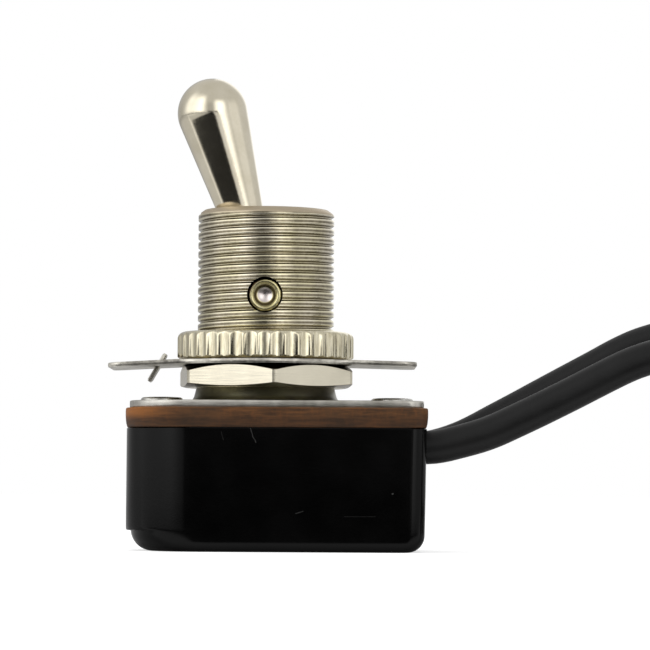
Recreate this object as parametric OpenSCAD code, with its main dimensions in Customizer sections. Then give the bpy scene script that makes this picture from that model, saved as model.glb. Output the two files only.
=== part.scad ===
// Panel toggle switch with a bat lever and two wire leads.
// Origin: underside of the case on the bushing's axis. +Z runs up the bushing,
// the lever swings along X, and the leads leave the case at its +X end.

/* [Case and plates] */
// Distance from the bushing's axis to the round end of the board
board_left = 12; // [11.5:0.1:14]
// Distance from the bushing's axis to the lead end of the board
board_right = 14; // [13:0.1:16]
// Width of the board
board_w = 16; // [15.5:0.1:20]
// Thickness of the laminated board
board_t = 1.7; // [1.2:0.1:2.4]
// Height of the case without the board
case_h = 10.6; // [10:0.05:14]
// Thickness of the case walls
case_wall = 1.5; // [1:0.1:2]
// Thickness of the case floor
floor_t = 2; // [1.5:0.1:2.5]
// Thickness of the steel frame plate
plate_t = 0.62; // [0.4:0.01:1]
// Corner radius at the round end
round_end_r = 5.4; // [3:0.1:7]
// Corner radius at the lead end
lead_end_r = 1.4; // [0.8:0.1:2]

/* [Bushing and nuts] */
// Outer diameter of the bushing's thread
thread_d = 11.86; // [11:0.02:12.5]
// Diameter at which the nuts' threads meet the bushing's
pitch_d = 11.36; // [10.8:0.02:11.9]
// Threads to the inch on the bushing
threads_per_inch = 32; // [24:1:40]
// Height of the bushing above the frame plate
bushing_h = 16.7; // [14:0.1:20]
// Radius of the bore that the lever swings in
bore_r = 4.4; // [4.3:0.05:4.6]
// Width of the hex nut across its flats
hex_af = 14.3; // [14:0.1:16]
// Thickness of the hex nut
hex_t = 1.95; // [1.2:0.05:3]
// Outer diameter of the ring nut
ring_d = 15.36; // [14.5:0.02:18]
// Height of the ring nut
ring_h = 2.5; // [1.6:0.1:3.5]
// Number of flutes round the ring nut
ring_flutes = 40; // [24:1:60]

/* [Legend plate] */
// Length of the legend plate
legend_l = 26.6; // [24:0.1:30]
// Diameter of the legend plate's round middle
legend_d = 15.8; // [14.6:0.1:18]
// Width of the legend plate's two tongues
legend_w = 9.8; // [7:0.1:11]
// Thickness of the legend plate
legend_t = 0.38; // [0.2:0.02:0.8]
// Droop of the legend plate's left tongue, in degrees
legend_bend = 3.2; // [0:0.1:4]
// Droop of the legend plate's right tongue, in degrees
legend_bend_right = 1.4; // [0:0.1:4]

/* [Lever] */
// Lean of the lever from upright at rest
lever_lean = 16.45; // [10:0.05:17]
// Distance from the pivot to the middle of the lever's ball
lever_reach = 16.85; // [14:0.05:24]
// Radius of the ball on the lever's end
lever_ball_r = 3.05; // [2.5:0.05:3.5]
// Half angle of the lever's taper
lever_taper = 7.1; // [6:0.1:7.2]
// Radius of the lever's ball fulcrum
fulcrum_r = 4.1; // [4:0.05:4.2]

/* [Contacts] */
// Tilt of the contact rocker at rest
rocker_tilt = 7; // [6:0.5:7]
// Radius of the dish in the rocker that the plunger runs in
dish_r = 10; // [9:0.1:10]
// Width of the rocker
rocker_w = 4; // [3:0.1:4]

/* [Leads] */
// Diameter of a lead over its insulation
lead_d = 2.9; // [2.2:0.1:2.9]
// Length of each lead outside the case with its bare end
lead_length = 152; // [130:1:154]
// Distance of each lead from the middle of the case
lead_y = 3.55; // [3.5:0.05:3.8]
// Height of the leads' axes above the underside
lead_z = 9; // [8.6:0.1:9]

/* [Hidden] */

gap = 0.05;             // running clearance
cut = 1;                // how far a cutter runs past a face
smooth = 96;            // sides of a large round
fine = 48;              // sides of a small round

neck_h = 1.22;                      // bare neck of the bushing between plate and thread
board_z = case_h;
plate_z = board_z + board_t;
neck_z = plate_z + plate_t;
hex_z = neck_z + neck_h;
legend_z = hex_z + hex_t;
ring_z = legend_z + legend_t;
ring_top = ring_z + ring_h;
bushing_top = neck_z + bushing_h;
pivot_z = bushing_top - 7.64;

case_left = board_left - 0.5;       // the land makes up the rest
case_right = board_right - 0.1;
case_w = board_w - 0.2;
land_t = 0.4;                       // raised land round the case's round end
land_z = 2;
bottom_r = 1.9;                     // rounding under the case's round end
bottom_lead_r = 1.45;               // rounding under the case's lead end
bottom_side_r = 0.7;                // rounding under the case's long sides
draft = 0.18;                       // how much the lead end draws in towards the floor

plate_inset = 0.35;
rivet_x = [-9, 11.05];
rivet_shank_r = 1.1;
rivet_head_r = 1.85;
rivet_head_h = 0.4;
rivet_well_r = 2.3;
rivet_well_h = 0.9;
post_r = 2;

spigot_r = 5.6;
spigot_bore_r = 5;
stake_r = 6.2;
stake_t = 0.6;
board_hole_r = 6.6;
bore_flare_z = 17.5;
neck_top_r = 5.85;
neck_foot_r = 6.5;

pin_r = 1.5;
pin_hole_r = 1.575;
pin_reach = 5.6;
pin_cup_r = 0.7;

tail_r = 1.75;
tail_end = 10;                      // pivot to the tail's end
tail_bore_top = 2.6;                // pivot to the top of the tail's bore
plunger_r = 1.1;
plunger_top = 6;                    // pivot to the plunger's top
plunger_tip = 18.04;                // pivot to the plunger's tip
spring_wire_r = 0.15;
spring_turns = 5;

rocker_z = 3.4;                     // height of the rocker's trunnions
dish_rise = 0.49;                   // dish bottom above the trunnions' axis
rocker_t = 0.7;
rocker_reach = 6.2;
trunnion_r = 0.6;
trunnion_reach = 3;
contact_x = 5.4;
contact_top = 3.28;
strip_t = 0.6;

ferrule_r = 1;
ferrule_bore_r = 0.66;
ferrule_x = [6.6, 9.6];
core_r = 0.65;
core_x = [6.4, 10.2];
bare_r = 0.75;                      // stripped and tinned end
coil_x = 64;                        // middle of the put-away turns
coil_y = 14;
coil_r_front = 19.5;
coil_r_rear = 16.5;
bare_length = 9.5;                  // stripped and tinned strands
ground = lead_d / 2;

// The leads' routes from inside the case to the start of their turns.
front_route = [
    [10.2, -lead_y, lead_z], [13.8, -lead_y, lead_z], [15.2, -3.55, 9.14], [16.4, -3.55, 9.42],
    [18.4, -3.6, 9.97], [19.9, -3.6, 10.52], [21.2, -3.6, 11.12], [23.3, -3.6, 12.12],
    [26.3, -3.6, 13.62], [29, -3.6, 15.02], [31, -3.6, 16.02], [32.5, -3.6, 16.62],
    [34.6, -3.6, 17.22], [36.9, -3.6, 17.42], [39.2, -3.7, 17.22], [41.4, -3.8, 16.62],
    [43.4, -3.9, 15.62], [45.3, -4, 14.31], [46.9, -4.1, 12.68], [48.2, -4.2, 10.84],
    [49.8, -4.4, 8.01], [51.1, -4.6, 6.1], [52.7, -4.8, 4.5], [54.6, -5, 3.2],
    [56.7, -5.2, ground + 0.8], [58.9, -5.4, ground + 0.2], [61.1, -5.5, ground],
    [coil_x, coil_y - coil_r_front, ground]];
rear_route = [
    [10.2, lead_y, lead_z], [12.8, lead_y, lead_z], [14.2, lead_y, lead_z + 0.09],
    [15.65, 3.55, 9.44], [17, 3.55, 9.92], [18.3, 3.55, 10.52], [20.2, 3.55, 11.55],
    [22.2, 3.55, 12.62], [24.2, 3.55, 13.72],
    [26.5, 3.5, 14.97], [29, 3.4, 16.32], [31, 3.3, 17.42], [33, 3.2, 18.32],
    [35.4, 3, 18.97], [38, 2.8, 19.17], [40.5, 2.5, 18.97], [42.9, 2.2, 18.32],
    [45.2, 1.8, 17.21], [47.3, 1.4, 15.77], [49.1, 1, 13.92], [50.5, 0.6, 11.8],
    [52.7, 0, 8], [54, -0.4, 6.1], [55.6, -0.9, 4.5], [57.5, -1.4, 3.2],
    [59.6, -1.9, ground + 0.8], [61.8, -2.3, ground + 0.2],
    [coil_x, coil_y - coil_r_rear, ground]];

// Length of a route, and what is left of a lead for its put-away turn, in degrees.
function reach(route, i = 1) =
    i == len(route) ? 0 : norm(route[i] - route[i - 1]) + reach(route, i + 1);
function degrees(length, r) = length / r * 180 / PI;
function turn_of(route, r) =
    degrees(lead_length + case_right - core_x[1] - bare_length - reach(route), r);

// ---- shared shapes ----

// Rectangle from -left to right with large corners at the left and small ones at the right.
module d_outline(left, right, w, r_left, r_right) {
    translate([r_left - left, -w / 2]) square([left - r_left + right - r_right, w]);
    translate([-left, r_left - w / 2]) square([2 * r_left, w - 2 * r_left]);
    translate([right - 2 * r_right, r_right - w / 2]) square([2 * r_right, w - 2 * r_right]);
    for (side = [-1, 1]) {
        translate([r_left - left, side * (w / 2 - r_left)]) circle(r_left, $fn = smooth);
        translate([right - r_right, side * (w / 2 - r_right)]) circle(r_right, $fn = fine);
    }
}

// A revolved solid from a list of [radius, height] points.
module turned(points) {
    rotate_extrude($fn = smooth) polygon(points);
}

// A cylinder along Y, centred on the XZ plane.
module cross_pin(r, half_length) {
    rotate([90, 0, 0]) cylinder(r = r, h = 2 * half_length, center = true, $fn = fine);
}

// Places children, drawn along +Z from the pivot, on the leaning lever's axis.
module on_lever() {
    translate([0, 0, pivot_z]) rotate([0, -lever_lean, 0]) children();
}

// Direction of a route at one of its points.
function unit(v) = v / norm(v);
function heading(route, i) =
    (i == 0 || i == len(route) - 1) ? [1, 0, 0] : unit(route[i + 1] - route[i - 1]);

// One ring of a tube's points, square to the route.
function tube_ring(route, i, r, sides) =
    let (along = heading(route, i), up = unit(cross(along, [0, 1, 0])), out = cross(up, along))
    [for (k = [0:sides - 1]) route[i] + r * (cos(360 * k / sides) * out + sin(360 * k / sides) * up)];

// A round tube swept along a route.
module tube(route, r, sides = 8) {
    rings = len(route);
    points = [for (i = [0:rings - 1]) each tube_ring(route, i, r, sides)];
    walls = [for (i = [0:rings - 2], k = [0:sides - 1])
        let (a = i * sides + k, b = i * sides + (k + 1) % sides) [a, a + sides, b + sides, b]];
    start = [for (k = [0:sides - 1]) k];
    end = [for (k = [sides - 1:-1:0]) (rings - 1) * sides + k];
    polyhedron(points, concat([start, end], walls), convexity = 4);
}

// Part of a ring lying on the ground, as wound from its lowest point in Y.
module lying_arc(ring_r, wire_r, from, turn) {
    translate([coil_x, coil_y, lead_d / 2]) rotate([0, 0, from - 90])
        rotate_extrude(angle = turn, $fn = smooth) translate([ring_r, 0]) circle(wire_r, $fn = 24);
}

// ---- case, board and plate ----

// Cuts a rivet's hole up through a thickness that starts at z 0.
module rivet_hole(x, through) {
    translate([x, 0, -cut]) cylinder(r = rivet_shank_r + gap, h = through + 2 * cut, $fn = fine);
}

// How far a rounding of radius r draws in at height z above its floor.
function rounding(z, r) = z >= r ? 0 : r - sqrt(z * (2 * r - z));

// The case's outline drawn in at its round end, its lead end and its sides.
module case_outline(in_round, in_lead, in_side) {
    d_outline(case_left - in_round, case_right - in_lead, case_w - 2 * in_side,
        round_end_r - 0.1, lead_end_r);
}

module case_shell() {
    // rounded floor: a hull over the outlines at rising levels
    hull() {
        for (z = [0, 0.15, 0.5, 1.1, bottom_r])
            translate([0, 0, z]) linear_extrude(0.01) case_outline(rounding(z, bottom_r),
                draft + rounding(z, bottom_lead_r), rounding(z, bottom_side_r));
        translate([0, 0, case_h - 0.01]) linear_extrude(0.01) case_outline(0, 0, 0);
    }
    translate([0, 0, land_z]) linear_extrude(case_h - land_z)
        d_outline(case_left + land_t, 0, case_w, round_end_r - 0.1, lead_end_r);
}

module case() {
    color("#141414") difference() {
        union() {
            difference() {
                case_shell();
                translate([0, 0, floor_t]) linear_extrude(case_h)
                    d_outline(case_left - case_wall, case_right - case_wall, case_w - 2 * case_wall,
                        round_end_r - case_wall, lead_end_r);
            }
            for (x = rivet_x) translate([x, 0, floor_t - 0.2])
                cylinder(r = post_r, h = case_h - floor_t + 0.2, $fn = fine);
            translate([-contact_x, 0, floor_t - 0.2]) cylinder(r = 0.9, h = 1.76, $fn = fine);
        }
        for (x = rivet_x) {
            rivet_hole(x, case_h);
            translate([x, 0, -cut]) cylinder(r = rivet_well_r, h = rivet_well_h + cut, $fn = fine);
        }
        for (side = [-1, 1]) translate([0, side * lead_y, lead_z]) {
            translate([case_right - 3, 0, 0]) rotate([0, 90, 0])
                cylinder(r = lead_d / 2 + gap, h = 6, $fn = fine);
            translate([case_right - 3, -lead_d / 2 - gap, 0]) cube([6, lead_d + 2 * gap, 4]);
        }
    }
}

module insulator_board() {
    color("#5a3a22") translate([0, 0, board_z]) difference() {
        linear_extrude(board_t) d_outline(board_left, board_right, board_w, round_end_r, lead_end_r);
        translate([0, 0, -cut]) cylinder(r = board_hole_r, h = board_t + 2 * cut, $fn = smooth);
        for (x = rivet_x) rivet_hole(x, board_t);
    }
}

module frame_plate() {
    color("#8c8880") translate([0, 0, plate_z]) difference() {
        linear_extrude(plate_t)
            d_outline(board_left - plate_inset, board_right - plate_inset, board_w - 2 * plate_inset,
                round_end_r - plate_inset, lead_end_r);
        translate([0, 0, -cut]) cylinder(r = spigot_r, h = plate_t + 2 * cut, $fn = smooth);
        for (x = rivet_x) rivet_hole(x, plate_t);
    }
}

// A semi-tubular rivet: shallow head above the plate, tail rolled over in the case's well.
module rivet(x) {
    tail_z = 0.3;
    color("#a09c94") translate([x, 0, 0]) turned([
        [0.6, tail_z], [rivet_shank_r + 0.6, tail_z + 0.25], [rivet_shank_r + 0.6, rivet_well_h],
        [rivet_shank_r, rivet_well_h], [rivet_shank_r, neck_z], [rivet_head_r, neck_z],
        [rivet_head_r, neck_z + 0.16], [rivet_head_r - 0.1, neck_z + 0.32],
        [rivet_head_r - 0.4, neck_z + rivet_head_h], [0, neck_z + rivet_head_h],
        [0, tail_z + 2.2], [0.6, tail_z + 2.2]]);
}

// ---- bushing and nuts ----

// The thread above the ring nut as plain ridges, one to each pitch: a crest flat between
// two sloping flanks. The top ridge ends where the lip's chamfer starts.
thread_pitch = 25.4 / threads_per_inch;
thread_depth = 0.36 * thread_pitch;
thread_start = ring_top;
thread_end = bushing_top - 0.6;
ridges = floor((thread_end - thread_start) / thread_pitch - 0.61);

function ridge(k) =
    let (r = thread_d / 2, root = r - thread_depth, top = thread_end - (ridges - k) * thread_pitch)
    [[root, top - 0.61 * thread_pitch], [r, top - 0.22 * thread_pitch], [r, top]];

module bushing() {
    thread = [for (k = [0:ridges]) each ridge(k)];
    color("#b9b3a2") difference() {
        turned(concat([
            [spigot_bore_r, plate_z - stake_t], [stake_r - 0.3, plate_z - stake_t],
            [stake_r, plate_z - 0.3], [stake_r, plate_z], [spigot_r, plate_z], [spigot_r, neck_z],
            [neck_foot_r, neck_z], [neck_foot_r - 0.2, neck_z + 0.15], [6.15, neck_z + 0.3],
            [neck_top_r, hex_z], [pitch_d / 2, hex_z], [pitch_d / 2, thread_start],
            [thread_d / 2 - thread_depth, thread_start]], thread, [
            [thread_d / 2 - 0.5, bushing_top], [bore_r + 0.25, bushing_top],
            [bore_r, bushing_top - 0.25], [bore_r, bore_flare_z]]));
        translate([0, 0, pivot_z]) cross_pin(pin_hole_r, 8);
    }
}

// A hexagonal prism with its corners turned off, less on the lower face than on the upper.
module hex_nut() {
    corner_r = hex_af / 2 / cos(30);
    color("#cfc9b6") translate([0, 0, hex_z]) intersection() {
        rotate([0, 0, 36.6]) linear_extrude(hex_t) difference() {
            circle(corner_r, $fn = 6);
            circle(pitch_d / 2 + 0.02, $fn = smooth);
        }
        turned([[0, 0], [corner_r - 1.29, 0], [corner_r + 0.1, 0.31],
            [corner_r + 0.1, hex_t - 0.66], [corner_r - 1.34, hex_t], [0, hex_t]]);
    }
}

// The legend plate's outline: a disc with a tongue at each side, blended by fillets.
module legend_outline(left, right) {
    disc_r = legend_d / 2;
    fillet_r = 3;
    half_w = legend_w / 2;
    fillet_y = half_w + fillet_r;
    fillet_x = sqrt(pow(disc_r + fillet_r, 2) - pow(fillet_y, 2));
    meet = disc_r / (disc_r + fillet_r);
    circle(disc_r, $fn = smooth);
    d_outline(left, right, legend_w, 1.2, 1.2);
    for (sx = [-1, 1], sy = [-1, 1]) scale([sx, sy]) difference() {
        polygon([[0, 0], [fillet_x, half_w], [fillet_x, fillet_y], meet * [fillet_x, fillet_y]]);
        translate([fillet_x, fillet_y]) circle(fillet_r, $fn = smooth);
    }
}

// The thin legend plate: its outline cut from a strip whose ends droop,
// with the locating tang lanced at a slant through it.
module legend_plate() {
    left = 13.5;
    right = legend_l - left;
    bend_x = 7.4;
    tang_x = -9.15;
    tang_tilt = 30.8;
    drop = (left + cut - bend_x) * tan(legend_bend);
    drop_right = (right + cut - bend_x) * tan(legend_bend_right);
    color("#a8a49c") translate([0, 0, legend_z]) difference() {
        union() {
            intersection() {
                translate([0, 0, -5]) linear_extrude(10) legend_outline(left, right);
                rotate([90, 0, 0]) linear_extrude(legend_d + 2 * cut, center = true) polygon([
                    [-left - cut, -drop], [-bend_x, 0], [bend_x, 0],
                    [right + cut, -drop_right], [right + cut, legend_t - drop_right],
                    [bend_x, legend_t], [-bend_x, legend_t], [-left - cut, legend_t - drop]]);
            }
            translate([tang_x, 0, legend_t / 2]) rotate([0, tang_tilt, 0])
                translate([0, 0, -0.5]) cube([0.33, 2.6, 2.8], center = true);
        }
        translate([0, 0, -cut]) cylinder(r = thread_d / 2 + 0.1, h = legend_t + 2 * cut, $fn = smooth);
    }
}

// The ring nut: a turned ring with a rounded top edge, and straight flutes milled round it.
module knurled_nut() {
    r = ring_d / 2;
    flute_r = 0.8;
    flute_depth = 0.2;
    edge = 0.6;
    arc = [for (a = [0:15:90]) [r - edge + edge * cos(a), ring_h - edge + edge * sin(a)]];
    color("#c9c2a8") translate([0, 0, ring_z]) difference() {
        turned(concat([[pitch_d / 2 + 0.02, 0], [r - 0.5, 0], [r, 0.3]], arc,
            [[pitch_d / 2 + 0.3, ring_h], [pitch_d / 2 + 0.02, ring_h - 0.28]]));
        for (i = [0:ring_flutes - 1]) rotate([0, 0, 360 * i / ring_flutes])
            translate([r + flute_r - flute_depth, 0, -cut])
                cylinder(r = flute_r, h = ring_h + 2 * cut, $fn = fine);
    }
}

// ---- lever and its plunger ----

// The axle: a tube end shows at each side as a small cup.
module pivot_pin() {
    color("#b59a5a") translate([0, 0, pivot_z]) difference() {
        union() {
            cross_pin(pin_r, pin_reach);
            for (side = [-1, 1]) translate([0, side * (pin_reach - 0.3), 0]) cross_pin(pin_hole_r, 0.3);
        }
        for (side = [-1, 1]) translate([0, side * pin_reach, 0]) cross_pin(pin_cup_r, 1);
    }
}

// Turned in one piece: ball, taper, ball fulcrum and drilled tail.
module toggle_lever() {
    ball_rise = lever_ball_r * sin(lever_taper);
    ball_edge = lever_ball_r * cos(lever_taper);
    foot = 3;
    foot_r = ball_edge - (lever_reach - ball_rise - foot) * tan(lever_taper);
    color("#cdc6b0") on_lever() difference() {
        union() {
            translate([0, 0, lever_reach]) sphere(lever_ball_r, $fn = smooth);
            translate([0, 0, foot])
                cylinder(r1 = foot_r, r2 = ball_edge, h = lever_reach - ball_rise - foot, $fn = smooth);
            sphere(fulcrum_r, $fn = smooth);
            translate([0, 0, -tail_end]) cylinder(r = tail_r, h = tail_end, $fn = fine);
        }
        cross_pin(pin_r + gap, 8);
        translate([0, 0, -tail_end - cut])
            cylinder(r = plunger_r + gap, h = tail_end - tail_bore_top + cut, $fn = fine);
    }
}

// A helix of round wire standing on the XY plane.
module helix(coil_r, wire_r, height, turns, steps = 16, sides = 8) {
    rings = turns * steps;
    rise = (height - 2 * wire_r) / rings;
    slope = atan(rise * steps / (2 * PI * coil_r));
    points = [for (i = [0:rings], k = [0:sides - 1])
        let (turn = 360 * i / steps, side = 360 * k / sides,
            r = coil_r + wire_r * cos(side),
            along = wire_r * sin(side) * sin(slope))
        [r * cos(turn) + along * sin(turn), r * sin(turn) - along * cos(turn),
            wire_r + rise * i + wire_r * sin(side) * cos(slope)]];
    walls = [for (i = [0:rings - 1], k = [0:sides - 1])
        let (a = i * sides + k, b = i * sides + (k + 1) % sides) [a, a + sides, b + sides, b]];
    start = [for (k = [0:sides - 1]) k];
    end = [for (k = [sides - 1:-1:0]) rings * sides + k];
    polyhedron(points, concat([start, end], walls), convexity = 8);
}

module plunger_spring() {
    color("#9a9a9a") on_lever() translate([0, 0, -plunger_top])
        helix(0.85, spring_wire_r, plunger_top - tail_bore_top, spring_turns);
}

module plunger() {
    length = plunger_tip - plunger_top - plunger_r;
    color("#d8d0b8") on_lever() translate([0, 0, -plunger_top]) {
        translate([0, 0, -length]) cylinder(r = plunger_r, h = length, $fn = fine);
        translate([0, 0, -length]) sphere(plunger_r, $fn = fine);
    }
}

// ---- contacts in the case ----

// Places children, drawn about the trunnions with the rocker level, as the rocker lies at rest.
module on_rocker() {
    translate([0, 0, rocker_z]) rotate([0, rocker_tilt, 0]) children();
}

// A strip dished to a constant radius, with a trunnion at each side.
module contact_rocker() {
    dish_z = dish_rise + dish_r;
    color("#b8923c") on_rocker() {
        intersection() {
            translate([0, 0, dish_z]) difference() {
                cross_pin_fine(dish_r + rocker_t, rocker_w / 2);
                cross_pin_fine(dish_r, rocker_w);
            }
            translate([-rocker_reach, -rocker_w / 2, -cut]) cube([2 * rocker_reach, rocker_w, 5]);
        }
        difference() {
            cross_pin(trunnion_r, trunnion_reach);
            translate([0, 0, dish_z]) cross_pin_fine(dish_r + rocker_t / 2, rocker_w);
        }
    }
}

// A large cylinder along Y with many sides.
module cross_pin_fine(r, half_length) {
    rotate([90, 0, 0]) cylinder(r = r, h = 2 * half_length, center = true, $fn = 180);
}

module moving_contact() {
    color("#dcdcdc") difference() {
        translate([contact_x, 0, contact_top + 0.02]) cylinder(r = 0.9, h = 2, $fn = fine);
        on_rocker() translate([0, 0, dish_rise + dish_r]) cross_pin_fine(dish_r + rocker_t, rocker_w);
    }
}

module fixed_contact() {
    z = floor_t + strip_t;
    color("#dcdcdc") translate([contact_x, 0, z]) cylinder(r = 1.1, h = contact_top - z, $fn = fine);
}

// The riser of a terminal: its top is scooped to seat the crimp sleeve.
module riser(side) {
    difference() {
        translate([8, side * lead_y - 1.2, floor_t]) cube([strip_t, 2.4, lead_z - 0.4 - floor_t]);
        translate([8 - cut, side * lead_y, lead_z]) rotate([0, 90, 0])
            cylinder(r = ferrule_r, h = 4, $fn = fine);
    }
}

module contact_terminal() {
    color("#b8923c") {
        translate([4, -lead_y - 1.2, floor_t]) cube([4.6, lead_y + 2.5, strip_t]);
        riser(-1);
    }
}

// The strip under the rocker, with two notched ears that carry its trunnions.
module common_terminal() {
    ear_y = rocker_w / 2 + 0.2;
    ear_h = rocker_z + 0.6;
    color("#b8923c") {
        difference() {
            union() {
                translate([-2, -ear_y - strip_t, floor_t]) cube([4, 2 * (ear_y + strip_t), strip_t]);
                for (side = [-1, 1]) translate([-1.3, side * (ear_y + strip_t / 2) - strip_t / 2, floor_t])
                    cube([2.6, strip_t, ear_h - floor_t]);
            }
            translate([0, 0, rocker_z]) cross_pin(trunnion_r + gap, 5);
            translate([-trunnion_r - gap, -5, rocker_z]) cube([2 * (trunnion_r + gap), 10, 3]);
        }
        translate([-2, ear_y, floor_t]) cube([10.6, lead_y + 1.2 - ear_y, strip_t]);
        riser(1);
    }
}

module ferrule(side) {
    color("#c0a050") translate([ferrule_x[0], side * lead_y, lead_z]) rotate([0, 90, 0]) difference() {
        cylinder(r = ferrule_r, h = ferrule_x[1] - ferrule_x[0], $fn = fine);
        translate([0, 0, -cut]) cylinder(r = ferrule_bore_r, h = 6, $fn = fine);
    }
}

module core(side) {
    color("#c8a080") translate([core_x[0], side * lead_y, lead_z]) rotate([0, 90, 0])
        cylinder(r = core_r, h = core_x[1] - core_x[0], $fn = fine);
}

// ---- leads ----

module lead(route) {
    color("#1a1a1a") tube(route, lead_d / 2);
}

// The part of a lead that is put away in a turn beside the switch.
module lead_turn(ring_r, route) {
    color("#1a1a1a") lying_arc(ring_r, lead_d / 2, 0, turn_of(route, ring_r));
}

module lead_tip(ring_r, route) {
    color("#c9c9c9") lying_arc(ring_r, bare_r, turn_of(route, ring_r), degrees(bare_length, ring_r));
}

// ---- what is shown ----

case();
insulator_board();
frame_plate();
rivet(rivet_x[0]);  // rivet_left
rivet(rivet_x[1]);  // rivet_right
bushing();
hex_nut();
legend_plate();
knurled_nut();
pivot_pin();
toggle_lever();
plunger_spring();
plunger();
contact_rocker();
moving_contact();
fixed_contact();
contact_terminal();
common_terminal();
ferrule(-1);  // contact_ferrule
ferrule(1);  // common_ferrule
core(-1);  // contact_core
core(1);  // common_core
lead(front_route);  // lead_front
lead(rear_route);  // lead_rear
lead_turn(coil_r_front, front_route);  // lead_front_coil
lead_turn(coil_r_rear, rear_route);  // lead_rear_coil
lead_tip(coil_r_front, front_route);  // lead_front_end
lead_tip(coil_r_rear, rear_route);  // lead_rear_end
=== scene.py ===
from math import atan, cos, degrees, radians, sin, sqrt, tan

import bmesh
import bpy
import numpy as np
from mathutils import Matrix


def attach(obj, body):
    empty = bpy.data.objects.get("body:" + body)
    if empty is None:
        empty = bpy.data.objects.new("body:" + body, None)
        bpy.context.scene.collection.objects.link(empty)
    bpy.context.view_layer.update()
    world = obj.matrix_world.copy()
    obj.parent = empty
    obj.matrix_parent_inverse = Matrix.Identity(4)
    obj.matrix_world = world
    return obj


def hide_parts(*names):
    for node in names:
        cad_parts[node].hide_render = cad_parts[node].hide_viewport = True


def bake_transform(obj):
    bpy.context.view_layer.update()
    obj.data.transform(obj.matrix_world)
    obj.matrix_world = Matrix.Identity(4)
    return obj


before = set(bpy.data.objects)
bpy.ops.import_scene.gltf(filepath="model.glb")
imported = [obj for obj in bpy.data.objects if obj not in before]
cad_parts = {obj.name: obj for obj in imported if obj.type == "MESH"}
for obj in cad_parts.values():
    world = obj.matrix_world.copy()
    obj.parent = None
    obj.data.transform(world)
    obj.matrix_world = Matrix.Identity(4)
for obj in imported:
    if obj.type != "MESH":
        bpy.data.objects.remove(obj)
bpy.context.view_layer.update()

# ---- camera ----
# A long lens stands 300 mm in front, at the height of the case's side, and looks up by under
# three degrees at the middle of the switch. The lever swings across the view.
MM = 0.001
EYE = (5.24, -300.0, 5.2)
LOOK_UP = 2.763
ROLL = -0.32
SENSOR_WIDTH, FOCAL_LENGTH = 36.0, 190.74462


def added(name, data):
    """A new object in the scene, which holds a mesh, a lamp or the camera."""
    thing = bpy.data.objects.new(name, data)
    bpy.context.scene.collection.objects.link(thing)
    return thing


lens = bpy.data.cameras.new("camera")
lens.sensor_width = SENSOR_WIDTH
lens.lens = FOCAL_LENGTH
lens.clip_start = 20 * MM
camera = added("camera", lens)
camera.location = [part * MM for part in EYE]
camera.rotation_euler = (radians(90 + LOOK_UP), radians(ROLL), 0)
bpy.context.scene.camera = camera

# ---- leads ----
# Two 16 gauge stranded leads in black PVC, 152 mm long with 9.5 mm stripped and tinned. They
# leave the case's end side by side, arch down to the table and lie in one open turn.
LEAD_R = 1.45
BARE_R = 0.75
LEAD_LENGTH = 152.0
BARE_LENGTH = 9.5
CUT_ROUNDING = 0.12
MERGE_WITHIN = 0.0002
LEAD_STEP, BARE_STEP = 0.6, 0.25
STRANDS, STRAND_TWIST = 12, 12.0
RING_CENTRE = (64.0, 14.0)
CASE_END = 13.9
LEAD_Z = 9.0

# Each lead's middle, in mm, from inside the case down to where its turn on the table begins.
FRONT_ROUTE = np.array([
    (10.2, -3.55, 9), (13.8, -3.55, 9), (15.2, -3.55, 9.14), (16.4, -3.55, 9.42), (18.4, -3.6, 9.97),
    (19.9, -3.6, 10.52), (21.2, -3.6, 11.12), (23.3, -3.6, 12.12), (26.3, -3.6, 13.62),
    (29, -3.6, 15.02), (31, -3.6, 16.02), (32.5, -3.6, 16.62), (34.6, -3.6, 17.22), (36.9, -3.6, 17.42),
    (39.2, -3.7, 17.22), (41.4, -3.8, 16.62), (43.4, -3.9, 15.62), (45.3, -4, 14.31),
    (46.9, -4.1, 12.68), (48.2, -4.2, 10.84), (49.8, -4.4, 8.01), (51.1, -4.6, 6.1), (52.7, -4.8, 4.5),
    (54.6, -5, 3.2), (56.7, -5.2, 2.25), (58.9, -5.4, 1.65), (61.1, -5.5, 1.45), (64, -5.5, 1.45)])
REAR_ROUTE = np.array([
    (10.2, 3.55, 9), (12.8, 3.55, 9), (14.2, 3.55, 9.09), (15.65, 3.55, 9.44), (17, 3.55, 9.92),
    (18.3, 3.55, 10.52), (20.2, 3.55, 11.55), (22.2, 3.55, 12.62), (24.2, 3.55, 13.72),
    (26.5, 3.5, 14.97), (29, 3.4, 16.32), (31, 3.3, 17.42), (33, 3.2, 18.32), (35.4, 3, 18.97),
    (38, 2.8, 19.17), (40.5, 2.5, 18.97), (42.9, 2.2, 18.32), (45.2, 1.8, 17.21), (47.3, 1.4, 15.77),
    (49.1, 1, 13.92), (50.5, 0.6, 11.8), (52.7, 0, 8), (54, -0.4, 6.1), (55.6, -0.9, 4.5),
    (57.5, -1.4, 3.2), (59.6, -1.9, 2.25), (61.8, -2.3, 1.65), (64, -2.5, 1.45)])


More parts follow.
